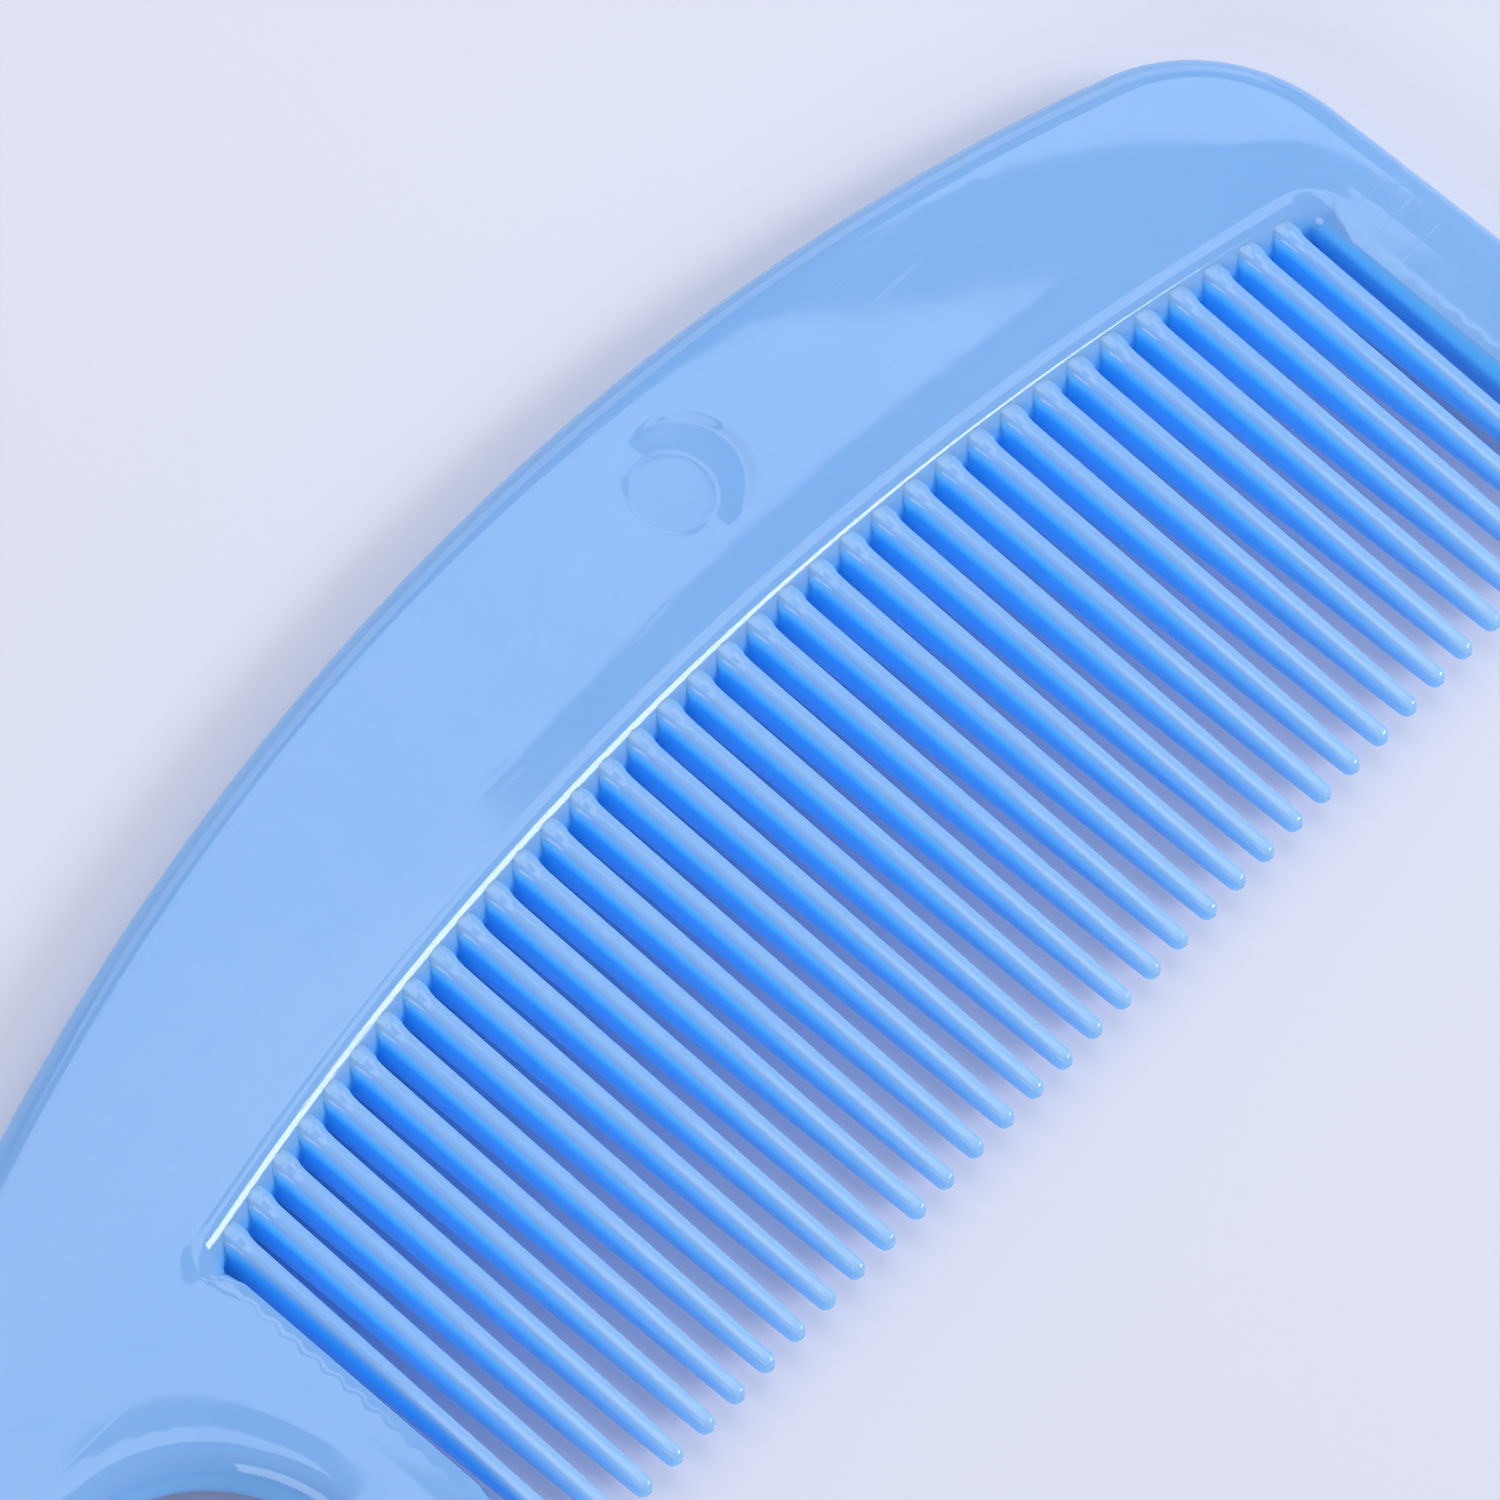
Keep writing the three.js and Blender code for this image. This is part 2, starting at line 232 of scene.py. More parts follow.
def toe_outline(o, field_end, step):
    """The toe guard: its round tip, an outer edge that leans in, and the corner that
    touches the back arc."""
    tip_y = o.guard_tip - o.guard_overhang
    toe_x = field_end + o.toe_width
    back = complex(o.back_crown_x, o.back_crown_y - o.back_radius_toe)
    corner_x = toe_x - o.toe_lean - o.toe_corner
    corner = complex(corner_x, tangent_height(back, o.back_radius_toe, o.toe_corner, corner_x))
    side = complex(toe_x - o.toe_lean, corner.imag)
    knee = complex(toe_x, (tip_y + corner.imag) / 2)
    low = complex(toe_x, tip_y)
    turn = float(np.angle(corner - back))
    return [
        arc(complex(field_end + o.guard_tip, tip_y), o.guard_tip, HALF_TURN, DOWN, step),
        arc(complex(toe_x - o.guard_tip, tip_y), o.guard_tip, DOWN, 2 * HALF_TURN, step),
        bend(low, low + (knee - low) * 2 / 3, side + (knee - side) * 2 / 3, side, step),
        arc(corner, o.toe_corner, 0, turn, step),
        arc(back, o.back_radius_toe, turn, UP, step),
    ]


def handle_outline(o, hole, step):
    """The back from its crown to the shoulder, the grip and its round end, and the
    lower curve that meets the ring around the finger hole. Each reach is how far a
    curve follows its tangent at that end."""
    shoulder_shift = 4 * MM
    shoulder_reach, upper_grip_reach = 17 * MM, 25 * MM
    lower_grip_reach, ring_reach = 20 * MM, 12 * MM
    back = complex(o.back_crown_x, o.back_crown_y - o.back_radius_handle)
    shoulder_turn = math.acos((hole.real - shoulder_shift - back.real) / o.back_radius_handle)
    shoulder = back + o.back_radius_handle * np.exp(1j * shoulder_turn)
    grip_radius = o.handle_width / 2
    grip = complex(hole.real - o.handle_reach + grip_radius, o.handle_y)
    ring_radius = o.hole_radius + o.ring_width
    ring_turn = 1.25 * HALF_TURN
    ring = hole + ring_radius * np.exp(1j * ring_turn)
    downhill = np.exp(1j * (shoulder_turn + UP))
    return [
        arc(back, o.back_radius_handle, UP, shoulder_turn, step),
        bend(shoulder, shoulder + shoulder_reach * downhill,
             grip + 1j * grip_radius + upper_grip_reach, grip + 1j * grip_radius, step),
        arc(grip, grip_radius, UP, DOWN, step),
        bend(grip - 1j * grip_radius, grip - 1j * grip_radius + lower_grip_reach,
             ring + ring_reach * np.exp(1j * (ring_turn - UP)), ring, step),
        arc(hole, ring_radius, ring_turn, DOWN, step),
    ]


def heel_outline(o, hole, top, step):
    """The heel's round lower end, and its inner edge up to the tooth field's corner."""
    start = hole - 1j * (o.hole_radius + o.ring_width)
    knee = 2 * o.guard_tip
    low = complex(-o.field_margin, knee - o.guard_overhang)
    return [
        bend(start, start + o.hole_radius, low - 1j * knee, low, step / 2),
        line(low, top, step),
    ]


def closed(parts, guards=()):
    """One closed outline from its parts, with each meeting point only once, and how much
    each point belongs to a guard's inner edge. That share is 1 on the guards, and it is
    averaged over five points so that it changes gently."""
    points = np.concatenate(parts)
    share = np.concatenate([np.full(part.size, float(number in guards))
                            for number, part in enumerate(parts)])
    keep = np.abs(points - np.roll(points, 1)) > SAME_POINT
    points, share = points[keep], share[keep]
    share = sum(np.roll(share, step) for step in range(-2, 3)) / 5
    return points, share


def hole_centre(o):
    """Middle of the finger hole."""
    return complex(-o.field_margin - o.heel_width - o.hole_radius, o.hole_y)


def body_outlines(o, teeth, step):
    """The outline and the finger hole, each with its guard share. Plastic lies to the
    left of both. The guards' inner edges are the outline's parts just before and just
    after the tooth field's three."""
    field_end = (len(TOOTH_NODES) - 1) * teeth.pitch + o.field_margin
    hole = hole_centre(o)
    field = field_outline(o, field_end, step)
    guard_end = complex(field_end, o.guard_tip - o.guard_overhang)
    parts = (
        toe_outline(o, field_end, step) + handle_outline(o, hole, step)
        + heel_outline(o, hole, field[0][0], step) + field
        + [line(field[-1][-1], guard_end, step)])
    heel_edge, toe_edge = len(parts) - 5, len(parts) - 1
    outer = closed(parts, (heel_edge, toe_edge))
    inner = closed([arc(hole, o.hole_radius, 0, -2 * HALF_TURN, step / 2)])
    return outer, inner


def inward(points):
    """Unit directions into the plastic: the tangent, turned left. The tangent at a point
    is the mean of its two chords' directions, and the shorter chord counts for more."""
    ahead, behind = np.roll(points, -1) - points, points - np.roll(points, 1)
    tangent = (ahead / np.abs(ahead)) * np.abs(behind) + (behind / np.abs(behind)) * np.abs(ahead)
    return 1j * tangent / np.abs(tangent)


# ---------------------------------------------------------------- faces of the body

SOFTNESS = 6  # a higher power follows the nearest edge more closely
STRAIGHT_SUM = 3 * HALF_TURN / 8  # that power's sum at a distance of 1 from a straight edge
CLOSEST = 0.05 * MM  # keeps the sum finite on the outline


def edge_distance(points, outlines):
    """A smooth distance to the outlines: the sum over the outline of (distance ** -6),
    scaled so that it is exact beside a straight edge, and without creases inside."""
    total = np.zeros(points.size)
    for outline in outlines:
        share = (np.abs(np.roll(outline, -1) - outline)
                 + np.abs(outline - np.roll(outline, 1))) / 2
        gap = np.abs(points[:, None] - outline[None, :])
        total += (share * np.maximum(gap, CLOSEST) ** -SOFTNESS).sum(axis=1)
    return (total / STRAIGHT_SUM) ** (-1 / (SOFTNESS - 1))


def smooth_step(value):
    """0 below 0, 1 above 1, and 3t^2 - 2t^3 between."""
    t = np.clip(value, 0, 1)
    return t * t * (3 - 2 * t)


def crowned(distance, s):
    """Height of a face over the mid-plane: flat in the middle, and falling towards the
    edge by the drop times e^(-distance / reach)."""
    return s.thickness / 2 - s.crown_drop * np.exp(-(distance - s.edge_width) / s.crown_reach)


def disc_centre(s):
    """Middle of the gate mark's disc, which all but touches the dish's heel side."""
    gap = 0.04 * MM
    towards_toe = complex(1, 0.1)
    shift = s.dish_radius - s.disc_radius - gap
    return complex(s.dish_x, s.dish_y) - shift * towards_toe


def gate_mark(points, s):
    """Depth of the gate mark: a round dish with a soft wall that is deeper towards the
    toe, and a disc in it with a groove of e^(-(distance / width)^2) round it and a faint
    sine ripple on it."""
    wall_margin, wall_width, least_depth = 0.1 * MM, 0.8 * MM, 0.02 * MM
    disc_edge, groove_width = 0.16 * MM, 0.12 * MM
    ripple, ripple_length = 0.004 * MM, 0.5 * MM
    dish = complex(s.dish_x, s.dish_y)
    disc = disc_centre(s)
    radius = np.abs(points - dish)
    wall = smooth_step((s.dish_radius + wall_margin - radius) / wall_width)
    fall = s.dish_slope * (points - dish).real
    from_disc = np.abs(points - disc)
    in_disc = smooth_step((s.disc_radius - from_disc) / disc_edge)
    groove = np.exp(-((from_disc - s.disc_radius) / groove_width) ** 2)
    depth = np.maximum(s.dish_depth + fall, least_depth) * wall
    plug = s.dish_depth * 0.5 + ripple * np.sin((points - disc).real / ripple_length)
    return depth * (1 - in_disc) + plug * in_disc + s.disc_depth * groove * wall


def inside(points, outline):
    """True for points that a ray along +X from them crosses the outline an odd number
    of times."""
    x, y = points.real[:, None], points.imag[:, None]
    start, end = outline[None, :], np.roll(outline, -1)[None, :]
    spans = (start.imag > y) != (end.imag > y)
    rise = np.where(spans, end.imag - start.imag, 1)
    cross = start.real + (y - start.imag) * (end.real - start.real) / rise
    return (spans & (x < cross)).sum(axis=1) % 2 == 1


def hexagonal(low, high, step):
    """Points in staggered rows that fill a rectangle."""
    rows = np.arange(low.imag, high.imag, step * math.sqrt(0.75))
    columns = np.arange(low.real, high.real, step)
    stagger = np.where(np.arange(rows.size) % 2, step / 2, 0)
    return (columns[None, :] + stagger[:, None] + 1j * rows[:, None]).ravel()


def face_points(outlines, rims, s, m):
    """Points for a face: its rims, an even pattern inside them, and a finer one on the
    gate mark."""
    mark_margin = 0.5 * MM
    outer = outlines[0]
    corner = complex(outer.real.min(), outer.imag.min())
    loose = hexagonal(corner, complex(outer.real.max(), outer.imag.max()), m.face_step)
    loose = loose[inside(loose, rims[0]) & ~inside(loose, rims[1])]
    clear = np.min(np.abs(loose[:, None] - np.concatenate(rims)[None, :]), axis=1)
    loose = loose[clear > 0.5 * m.face_step]
    dish = complex(s.dish_x, s.dish_y)
    reach = s.dish_radius + mark_margin
    loose = loose[np.abs(loose - dish) > reach + m.face_step / 2]
    fine = hexagonal(dish - reach * (1 + 1j), dish + reach * (1 + 1j), m.mark_step)
    fine = fine[np.abs(fine - dish) < reach]
    return np.concatenate([*rims, loose, fine])


def face_triangles(points, rims):
    """Triangles between the rims, counter-clockwise. They are found in millimetres."""
    to_millimetres, tolerance = 1e3, 1e-6
    edges, first = [], 0
    for rim in rims:
        number = first + np.arange(rim.size)
        edges += np.stack([number, np.roll(number, -1)], axis=1).tolist()
        first += rim.size
    flat = [Vector((x, y)) for x, y in zip(points.real * to_millimetres,
                                           points.imag * to_millimetres)]
    made = delaunay_2d_cdt(flat, edges, [], 0, tolerance)
    triangles = np.array(made[2])
    source = np.array([origin[0] for origin in made[3]])
    triangles = source[triangles]
    a, b, c = points[triangles].T
    middle = (a + b + c) / 3
    turn = ((b - a).conj() * (c - a)).imag
    keep = inside(middle, rims[0]) & ~inside(middle, rims[1]) & (np.abs(turn) > 0)
    triangles[turn < 0] = triangles[turn < 0][:, ::-1]
    return triangles[keep]


# ---------------------------------------------------------------- meshes


def new_piece(name, points, faces, material):
    """A smooth mesh piece from complex outline points with heights, moved to the frame.
    Its attribute "facing_up" is each vertex normal's Z."""
    flat, height = points
    place = flat + ORIGIN
    rows = np.stack([place.real, place.imag, height + MID_HEIGHT], axis=1)
    mesh = bpy.data.meshes.new(name)
    mesh.from_pydata(rows, [], faces)
    mesh.polygons.foreach_set("use_smooth", np.ones(len(mesh.polygons), bool))
    mesh.materials.append(material)
    mesh.update()
    normals = np.empty(3 * len(mesh.vertices))
    mesh.vertices.foreach_get("normal", normals)
    facing_up = mesh.attributes.new("facing_up", "FLOAT", "POINT")
    facing_up.data.foreach_set("value", normals[2::3])
    piece = bpy.data.objects.new(name, mesh)
    bpy.context.collection.objects.link(piece)
    return piece


def ring_faces(rows, columns, first):
    """Four-sided faces of a grid whose columns close round. The rows run downwards and
    the columns run with the plastic to their left, so the faces look outwards."""
    row = np.arange(rows - 1)[:, None] * columns
    here = first + row + np.arange(columns)[None, :]
    ahead = first + row + (np.arange(columns) + 1)[None, :] % columns
    return np.stack([here, here + columns, ahead + columns, ahead], axis=-1).reshape(-1, 4)


def edge_profile(s, rows, square):
    """The rounded edge, as (share of the edge's width, share of its height), one column
    for each point of the outline. A quarter round, (1 - cos a ^ p, sin a ^ p), that stops
    where its slope meets the face's. A power p under 1 makes it squarer. It runs from the
    face down to the parting band."""
    last = math.atan2(1, s.crown_drop / s.crown_reach)
    a = np.linspace(last, 0, rows + 1)[:, None]
    power = (2 / square)[None, :]
    across = (1 - np.cos(a) ** power) / (1 - math.cos(last) ** power)
    return across, np.sin(a) ** power / math.sin(last) ** power


def body_mesh(o, s, teeth, m):
    """The body as one closed mesh: rounded edges carried along both outlines, and two
    crowned faces between them."""
    loops = body_outlines(o, teeth, m.edge_step)
    outlines = [outline for outline, _ in loops]
    flat, height, faces, first = [], [], [], 0
    rims, top_rim, bottom_rim = [], [], []
    half_band = s.parting_band / 2
    for outline, guard in loops:
        width = s.edge_width + (s.guard_edge - s.edge_width) * guard
        across, tall = edge_profile(s, m.edge_rows, 2 + (s.guard_square - 2) * guard)
        rim = outline + width * inward(outline)
        rim_height = crowned(edge_distance(rim, outlines), s) - half_band
        middle = np.zeros((1, outline.size))
        inset = np.concatenate([across * width, middle - s.parting_ridge, across[::-1] * width])
        share = np.concatenate([tall, middle, -tall[::-1]])
        band = half_band * np.sign(np.arange(m.edge_rows + 1, -m.edge_rows - 2, -1))[:, None]
        flat.append((outline + inset * inward(outline)).ravel())
        height.append((share * rim_height + band).ravel())
        rows = inset.shape[0]
        faces += ring_faces(rows, outline.size, first).tolist()
        rims.append(rim)
        top_rim.append(first + np.arange(outline.size))
        bottom_rim.append(first + (rows - 1) * outline.size + np.arange(outline.size))
        first += rows * outline.size
    points = face_points(outlines, rims, s, m)
    triangles = face_triangles(points, rims)
    on_rim = sum(rim.size for rim in rims)
    loose = points[on_rim:]
    level = crowned(edge_distance(loose, outlines), s)
    for side, rim in ((1, top_rim), (-1, bottom_rim)):
        number = np.concatenate([*rim, first + np.arange(loose.size)])
        chosen = number[triangles]
        faces += (chosen if side > 0 else chosen[:, ::-1]).tolist()
        flat.append(loose)
        height.append(side * level - (gate_mark(loose, s) if side > 0 else 0))
        first += loose.size
    return (np.concatenate(flat), np.concatenate(height)), faces


def tooth_taper(root, tip, teeth, m):
    """Places along a tooth, with its half width and half height at each. It tapers from
    the root to the tip, evenly in width and by a power in height. A flare, which is
    e^(-distance / reach) outside the spine, fades again inside it. The end is a dome, a
    quarter of an oval."""
    near_root, near_rows = 1.5 * MM, 8
    flare_reach, flare_at_end = 0.3 * MM, 0.35
    height_power = 0.8
    dome, dome_start, dome_rows = 0.62 * MM, 0.18, 6
    along = np.concatenate([
        np.linspace(root + teeth.root_cover, root - near_root, near_rows + 1)[:-1],
        np.linspace(root - near_root, tip + dome, m.tooth_rows - near_rows)])
    flare = teeth.root_flare * np.exp(-np.maximum(root - along, 0) / flare_reach)
    flare = flare * smooth_step((root + teeth.root_cover - along) / teeth.root_cover
                                + flare_at_end)
    body = np.clip(1 - (root - along) / root, 0, 1)
    wide = teeth.tip_width + (teeth.root_width - teeth.tip_width) * body
    tall = teeth.tip_height + (teeth.root_height - teeth.tip_height) * body ** height_power
    wide, tall = wide / 2 + flare, tall / 2 + flare
    bow = np.sin(np.linspace(dome_start, 1, dome_rows + 1)[:-1] * UP)
    shrink = np.sqrt(1 - bow ** 2)
    return (np.concatenate([along, tip + dome * (1 - bow)]),
            np.concatenate([wide, wide[-1] * shrink]),
            np.concatenate([tall, tall[-1] * shrink]))


def squared_oval(sides, squareness):
    """Widths and heights round a squared oval: cos a and sin a, each raised to the power
    2 / squareness with its sign kept."""
    angle = np.arange(sides) * 2 * HALF_TURN / sides
    return [np.sign(wave.round(9)) * np.abs(wave) ** (2 / squareness)
            for wave in (np.cos(angle), np.sin(angle))]


def tooth_mesh(index, o, teeth, m, lean):
    """One tooth as a grid of squared ovals along its length, closed at both ends. Lean's
    real part bends it sideways, as the square of the distance from the root, and its
    imaginary part moves the tip along the tooth."""
    x = index * teeth.pitch
    circle_y = o.root_crown_y - o.root_radius
    root = circle_y + math.sqrt(o.root_radius ** 2 - (x - o.root_crown_x) ** 2)
    tip = lean.imag
    along, wide, tall = tooth_taper(root, tip, teeth, m)
    across, upright = squared_oval(m.tooth_sides, teeth.squareness)
    bent = x + lean.real * np.clip(1 - along / root, 0, 1) ** 2
    flat = (bent + 1j * along)[:, None] + wide[:, None] * across[None, :]
    height = tall[:, None] * upright[None, :]
    flat = np.concatenate([flat.ravel(), [x + 1j * along[0], bent[-1] + 1j * tip]])
    height = np.concatenate([height.ravel(), [0, 0]])
    faces = ring_faces(along.size, m.tooth_sides, 0)[:, ::-1].tolist()
    here = np.arange(m.tooth_sides)
    ahead = (here + 1) % m.tooth_sides
    end = np.full_like(here, along.size * m.tooth_sides)
    last_row = (along.size - 1) * m.tooth_sides
    faces += np.stack([here, ahead, end], axis=1).tolist()
    faces += np.stack([ahead + last_row, here + last_row, end + 1], axis=1).tolist()
    return (flat, height), faces


# ---------------------------------------------------------------- shader wiring


class Wire:
    """A socket's value in a sum. Each operator adds the Math node that does it."""

    def __init__(self, bench, socket):
        self.bench, self.socket = bench, socket

    def maths(self, operation, *values):
        """Adds a Math node on the values."""
        return self.bench.node("ShaderNodeMath", {"operation": operation},
                               dict(enumerate(values)))

    def __add__(self, other):
        return self.maths("ADD", self, other)

    def __sub__(self, other):
        return self.maths("SUBTRACT", self, other)

    def __rsub__(self, other):
        return self.maths("SUBTRACT", other, self)

    def __mul__(self, other):
        return self.maths("MULTIPLY", self, other)

    def __abs__(self):
        return self.maths("ABSOLUTE", self)

    def ramp(self, low, high):
        """0 at low and 1 at high, with smooth ends."""
        return self.bench.node("ShaderNodeMapRange", {"interpolation_type": "SMOOTHSTEP"},
                               {"Value": self, "From Min": low, "From Max": high})

    __radd__ = __add__
    __rmul__ = __mul__


class Bench:
    """A material's node tree, and the one way to add a node to it."""

    def __init__(self, name):
        self.material = bpy.data.materials.new(name)
        self.material.use_nodes = True
        self.tree = self.material.node_tree
        self.tree.nodes.clear()

    def node(self, kind, settings=None, inputs=None, output=0):
        """Adds a node, sets it, fills its inputs from values or wires, and returns one
        of its outputs."""
        made = self.tree.nodes.new(kind)
        for key, value in (settings or {}).items():
            setattr(made, key, value)
        for key, value in (inputs or {}).items():
            if isinstance(value, Wire):
                self.tree.links.new(value.socket, made.inputs[key])
            else:
                made.inputs[key].default_value = value
        return Wire(self, made.outputs[output]) if len(made.outputs) else None

    def part(self, vector, number):
        """One part of a vector: 0 is X and 1 is Y."""
        return self.node("ShaderNodeSeparateXYZ", None, {0: vector}, number)

    def noise(self, place, scale, detail, stretch=(1, 1, 1), turn=0.0):
        """Noise between 0 and 1, with about scale lumps to the metre. It may be stretched
        and turned in the table's plane."""
        laid = self.node("ShaderNodeMapping", {"vector_type": "POINT"},
                         {"Vector": place, "Rotation": (0, 0, turn), "Scale": stretch})
        return self.node("ShaderNodeTexNoise", {"noise_dimensions": "3D"},
                         {"Vector": laid, "Scale": scale, "Detail": detail,
                          "Roughness": 0.55})

    def mix(self, share, low, high):
        """low where share is 0 and high where it is 1, as colours."""
        return self.node("ShaderNodeMix", {"data_type": "RGBA"},
                         {0: share, 6: (*low, 1) if isinstance(low, tuple) else low,
                          7: (*high, 1) if isinstance(high, tuple) else high}, 2)

    def finish(self, shader):
        """Gives the material its shader."""
        self.node("ShaderNodeOutputMaterial", None, {"Surface": shader})
        return self.material


# ---------------------------------------------------------------- materials

WALL, FACE = 0.1, 0.8  # a normal's Z on a wall, at most, and on a face, at least
# Strength of the painted glow: an emission that stands in for light through the plastic.
PAINTED_GLOW_STRENGTH = 0.14
SCATTER_REACH = (0.25, 0.55, 1.0)  # how far red, green and blue light spread, as shares


def inside_field(bench, place):
    """1 between the guards and below the spine, and 0 elsewhere, with soft limits."""
    low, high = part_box(TOOTH_NODES[0])[0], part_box(TOOTH_NODES[-1])[1]
    top = max(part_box(node)[1].y for node in TOOTH_NODES)
    past_teeth, side_fade = 1.6 * MM, 0.4 * MM
    full_below, none_above = 4 * MM, 3 * MM
    across, along = bench.part(place, 0), bench.part(place, 1)
    left = across.ramp(low.x - past_teeth - side_fade, low.x - past_teeth)
    right = 1 - across.ramp(high.x + past_teeth, high.x + past_teeth + side_fade)
    return left * right * (1 - along.ramp(top - full_below, top - none_above))


def dull_disc(bench, place):
    """1 on the gate mark's disc, with a few clearer spots, and 0 off it."""
    section = bpy.context.scene.comb_section
    middle = disc_centre(section) + ORIGIN
    x, y = bench.part(place, 0) - middle.real, bench.part(place, 1) - middle.imag
    reach = section.disc_radius ** 2
    spots = bench.noise(place, 700, 2).ramp(0.35, 0.65)
    return (1 - (x * x + y * y).ramp(0.9 * reach, reach)) * (0.5 + 0.5 * spots)


def plastic_paint(bench, place, c, thin):
    """The plastic's colour, and its painted glow: an emission on the gap walls that stands in for
    light which has come through the plastic. The pigment is slightly uneven, with faint flow
    lines, and the walls are painted a brighter, more saturated blue by their slope, as painted
    light through the plastic. With thin, both fade and the colour turns paler towards the tooth
    tips, and the glow covers the undersides too. Otherwise both are mostly kept to the walls
    around the tooth field."""
    cloud = bench.noise(place, 90, 3)
    flow = bench.noise(place, 160, 2, (0.12, 1, 1), 0.15)
    pigment = (0.55 * cloud + 0.45 * flow).ramp(0.36, 0.66)
    paint = bench.mix(pigment, tuple(c.plastic_deep), tuple(c.plastic))
    # Painted light: each vertex's slope picks the walls, which get a brighter blue and a painted
    # glow standing in for light through the plastic.
    upward = bench.node("ShaderNodeAttribute", {"attribute_name": "facing_up"}, None, 2)
    side = 1 - abs(upward).ramp(WALL, FACE)
    if thin:
        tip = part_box(TOOTH_NODES[0])[0].y
        pale_length = 17 * MM
        near_tip = 1 - bench.part(place, 1).ramp(tip, tip + pale_length)
        paint = bench.mix(0.4 + 0.6 * near_tip, paint, tuple(c.plastic_thin))
        side = side * (1 - 0.6 * near_tip)
        painted_glow_mask = (1 - upward.ramp(WALL, FACE)) * (1 - 0.5 * near_tip)
    else:
        # Painted light on the body: the walls around the tooth field get the most wall blue and
        # all of the body's painted glow.
        wall = inside_field(bench, place) * side
        side = 0.4 * side + 0.5 * wall
        painted_glow_mask = 0.4 * wall
    # Painted light on the walls: their colour turns to the brighter wall blue.
    paint = bench.mix(side, paint, tuple(c.painted_wall_light))
    return paint, bench.mix(painted_glow_mask, (0, 0, 0), tuple(c.painted_glow_colour))


def unscratched(bench, place, turn, scale):
    """0 along hairline scratches that run one way, in patches, and 1 elsewhere."""
    hair = abs(bench.noise(place, scale, 1, (0.035, 1, 1), turn) - 0.5).ramp(0.0, 0.012)
    patch = bench.noise(place, 70 + scale / 10, 1).ramp(0.56, 0.64)
    return 1 - (1 - hair) * patch


def plastic_material(name, c, thin):
    """Glossy moulded plastic, with a shallow waviness from cooling, hairline scratches
    and a few dull rubbed spots. With thin, it is the teeth's, and light spreads further
    in it. Otherwise it is the body's, and the gate mark's disc is dull."""
    bench = Bench(name)
    place = bench.node("ShaderNodeTexCoord", None, None, 3)
    paint, painted_glow = plastic_paint(bench, place, c, thin)
    smooth = unscratched(bench, place, 0.9, 210) * unscratched(bench, place, -0.35, 260)
    rub = bench.noise(place, 340, 3).ramp(0.50, 0.72)
    roughness = 0.042 + 0.025 * rub + 0.12 * (1 - smooth)
    if not thin:
        roughness = roughness + 0.2 * dull_disc(bench, place)
    wave = bench.noise(place, 55, 1) * (0.05 * MM)
    peel = bench.noise(place, 900, 1) * (0.0011 * MM)
    bump = bench.node("ShaderNodeBump", None, {
        "Strength": 1.0, "Distance": 1.0, "Height": wave + peel + smooth * (0.0018 * MM)})
    gloss = bench.node("ShaderNodeBsdfPrincipled", None, {
        "Base Color": paint,
        "Roughness": roughness,
        "IOR": 1.5,
        "Subsurface Weight": 0.5 if thin else 0.35,
        "Subsurface Radius": SCATTER_REACH,
        "Subsurface Scale": (1.1 if thin else 0.6) * MM,
        "Normal": bump,
        # Painted glow: emission on the walls and undersides, standing in for light through the
        # plastic.
        "Emission Color": painted_glow,
        "Emission Strength": PAINTED_GLOW_STRENGTH,
    })
    return bench.finish(gloss)


def table_material(c):
    """A matt pale table, very slightly clouded."""
    bench = Bench("pale_table")
    place = bench.node("ShaderNodeTexCoord", None, None, 3)
    cloud = bench.noise(place, 9, 2).ramp(0.3, 0.7)
    base = tuple(c.table)
    paint = bench.mix(cloud, tuple(0.985 * v for v in base), base)
    shader = bench.node("ShaderNodeBsdfPrincipled", None, {
        "Base Color": paint, "Roughness": 0.9, "Specular IOR Level": 0.2})
    return bench.finish(shader)


# ---------------------------------------------------------------- operators


class COMB_OT_body(Operator):
    """Builds the spine, guards, finger hole and handle as one moulded body"""

    bl_idname = "comb.body"
    bl_label = "Moulded Body"

    def execute(self, context):
        scene = context.scene
        points, faces = body_mesh(scene.comb_outline, scene.comb_section,
                                  scene.comb_teeth, scene.comb_mesh)
        material = plastic_material("blue_plastic_body", scene.comb_colours, False)
        piece = new_piece("moulded_body", points, faces, material)
        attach(piece, "root")
        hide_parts(BODY_NODE)
        return {"FINISHED"}


class COMB_OT_teeth(Operator):
    """Builds the row of tapered teeth"""

    bl_idname = "comb.teeth"
    bl_label = "Moulded Teeth"

    def execute(self, context):
        scene = context.scene
        material = plastic_material("blue_plastic_teeth", scene.comb_colours, True)
        chance = np.random.default_rng(7)
        teeth = scene.comb_teeth
        for index, node in enumerate(TOOTH_NODES):
            lean = teeth.spread * complex(*chance.uniform(-1, 1, 2))
            points, faces = tooth_mesh(index, scene.comb_outline, teeth,
                                       scene.comb_mesh, lean)
            piece = new_piece(f"moulded_{node}", points, faces, material)
            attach(piece, "root")
            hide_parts(node)
        return {"FINISHED"}


def panel_light(name, position, target, size, radiance):
    """A rectangular soft light that faces a target. Its power is its radiance times its
    area times pi."""
    data = bpy.data.lights.new(name, "AREA")
    data.shape = "RECTANGLE"
    data.size, data.size_y = size
    data.energy = radiance * size[0] * size[1] * math.pi
    lamp = bpy.data.objects.new(name, data)
    turn = (Vector(target) - Vector(position)).to_track_quat("-Z", "Y").to_matrix().to_4x4()
    lamp.matrix_world = Matrix.Translation(position) @ turn
    bpy.context.collection.objects.link(lamp)


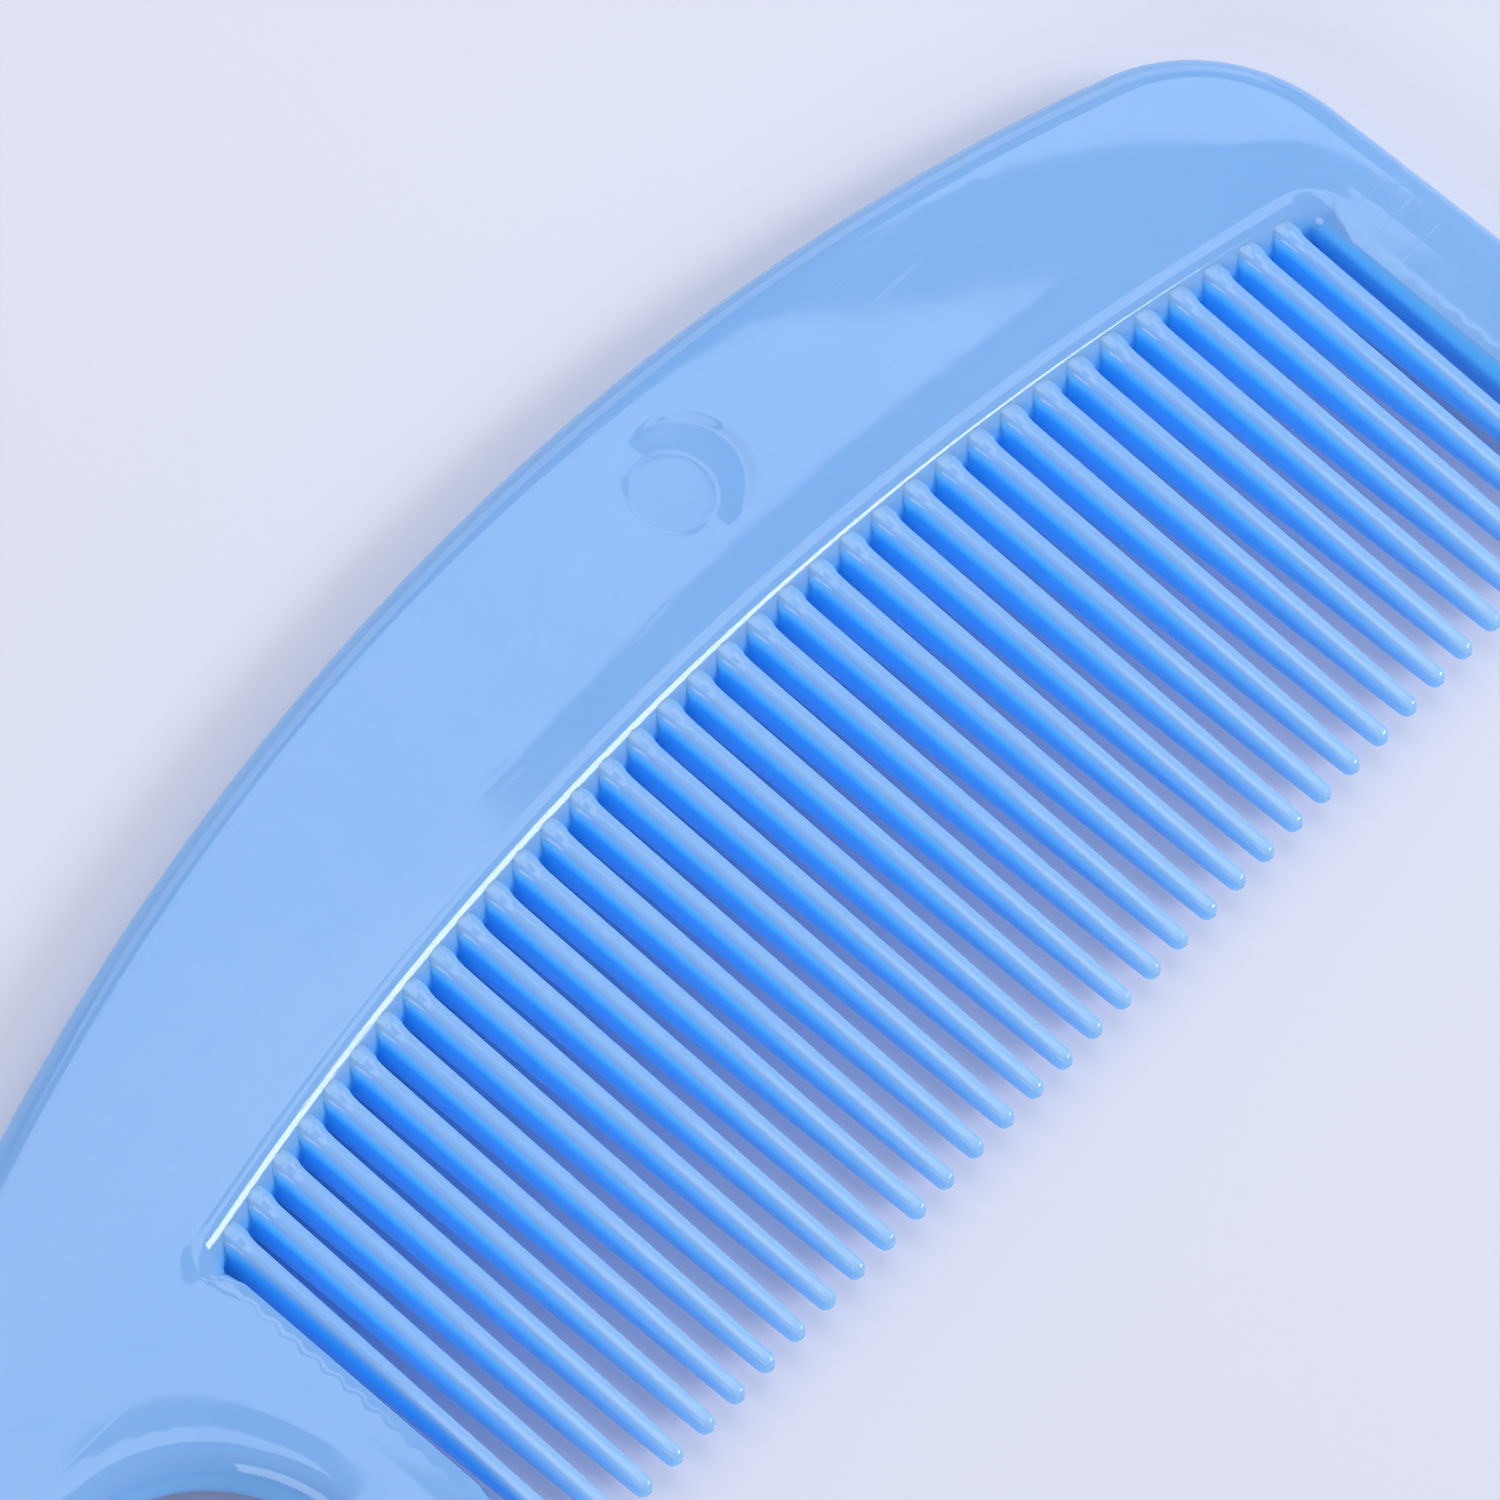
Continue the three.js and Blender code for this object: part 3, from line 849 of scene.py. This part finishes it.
class COMB_OT_stage(Operator):
    """Builds the table, the lights and the camera"""

    bl_idname = "comb.stage"
    bl_label = "Table, Lights and Camera"

    def execute(self, context):
        scene = context.scene
        self.table(scene)
        self.lights(scene)
        self.camera(scene)
        return {"FINISHED"}

    def table(self, scene):
        """A wide flat table that the comb lies on."""
        reach = 3.0
        corner = np.array([[-1, -1, 0], [1, -1, 0], [1, 1, 0], [-1, 1, 0]]) * reach
        mesh = bpy.data.meshes.new("table")
        mesh.from_pydata(corner, [], [(0, 1, 2, 3)])
        mesh.materials.append(table_material(scene.comb_colours))
        table = bpy.data.objects.new("table", mesh)
        bpy.context.collection.objects.link(table)

    def lights(self, scene):
        """A dim sky, flat panels above the table whose edges show in the comb's gloss,
        and three windows that light it from the sides."""
        world = bpy.data.worlds.new("studio")
        world.use_nodes = True
        sky = world.node_tree.nodes["Background"].inputs
        sky["Color"].default_value = (0.93, 0.95, 1.0, 1)
        sky["Strength"].default_value = 0.27
        scene.world = world
        panel_height = 0.62
        comb = (0.03, 0.0, 0.0)
        for name, (left, right), (near, far), radiance in (
                ("overhead_panel", (-0.16, 0.405), (0.115, 0.70), 2.0),
                ("toe_panel", (0.454, 0.62), (0.145, 0.30), 2.1),
                ("root_panel", (0.207, 0.316), (-0.03, 0.115), 2.1),
                ("heel_panel", (-0.10, 0.207), (-0.08, 0.058), 2.1),
                ("heel_strip", (-0.16, 0.207), (0.103, 0.115), 2.0),
                ("lip_panel", (0.316, 0.60), (-0.25, 0.03), 2.0)):
            middle = Vector(((left + right) / 2, (near + far) / 2, panel_height))
            panel_light(name, middle, middle - Vector((0, 0, 1)),
                        (right - left, far - near), radiance)
        panel_light("back_window", (1.3, 1.5, 0.55), comb, (2.2, 0.9), 1.2)
        panel_light("heel_window", (-1.05, -0.35, 0.45), comb, (0.9, 0.5), 3.4)
        panel_light("side_window", (0.536, -0.538, 0.516), (0.036, 0.004, 0.0025),
                    (0.36, 0.24), 12.0)
        scene.view_settings.view_transform = "Standard"
        scene.view_settings.look = "None"

    def camera(self, scene):
        """A long lens that looks down on the row of teeth, rolled by about 19 degrees."""
        aim = ORIGIN + complex(43.77, 25.67) * MM
        target = Vector((aim.real, aim.imag, 2.5 * MM))
        distance, tilt, heading, roll = 677 * MM, 28.48, 23.38, 19.19
        tilt, heading, roll = (math.radians(v) for v in (tilt, heading, roll))
        far = Vector((math.cos(heading), math.sin(heading), 0))
        sight = far * math.sin(tilt) - Vector((0, 0, math.cos(tilt)))
        right = Vector((far.y, -far.x, 0))
        up = right.cross(sight)
        across = right * math.cos(roll) + up * math.sin(roll)
        upright = up * math.cos(roll) - right * math.sin(roll)
        data = bpy.data.cameras.new("camera")
        data.sensor_width, data.lens = 36, 288.2
        data.clip_start, data.clip_end = 0.05, 20
        camera = bpy.data.objects.new("camera", data)
        turn = Matrix((across, upright, -sight)).transposed().to_4x4()
        camera.matrix_world = Matrix.Translation(target - sight * distance) @ turn
        bpy.context.collection.objects.link(camera)
        scene.camera = camera


class COMB_PT_panel(Panel):
    """Lists the comb's sizes and the pieces that can be built"""

    bl_idname = "COMB_PT_panel"
    bl_label = "Grooming Comb"
    bl_space_type = "VIEW_3D"
    bl_region_type = "UI"
    bl_category = "Comb"

    def draw(self, context):
        for operator in OPERATORS:
            self.layout.operator(operator.bl_idname)
        for name, group in GROUPS.items():
            box = self.layout.box()
            box.label(text=group.__doc__)
            for key in group.__annotations__:
                box.prop(getattr(context.scene, name), key)


GROUPS = {
    "comb_outline": CombOutlineSizes,
    "comb_section": CombSectionSizes,
    "comb_teeth": CombToothSizes,
    "comb_mesh": CombMeshSizes,
    "comb_colours": CombColours,
}
OPERATORS = (COMB_OT_stage, COMB_OT_body, COMB_OT_teeth)


def register():
    for kind in (*GROUPS.values(), *OPERATORS, COMB_PT_panel):
        bpy.utils.register_class(kind)
    for name, group in GROUPS.items():
        setattr(bpy.types.Scene, name, PointerProperty(type=group))


def unregister():
    for name in GROUPS:
        delattr(bpy.types.Scene, name)
    for kind in (COMB_PT_panel, *OPERATORS[::-1], *reversed(GROUPS.values())):
        bpy.utils.unregister_class(kind)


def main():
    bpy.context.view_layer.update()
    register()
    bpy.ops.comb.stage()
    bpy.ops.comb.body()
    bpy.ops.comb.teeth()


if __name__ == "__main__":
    main()
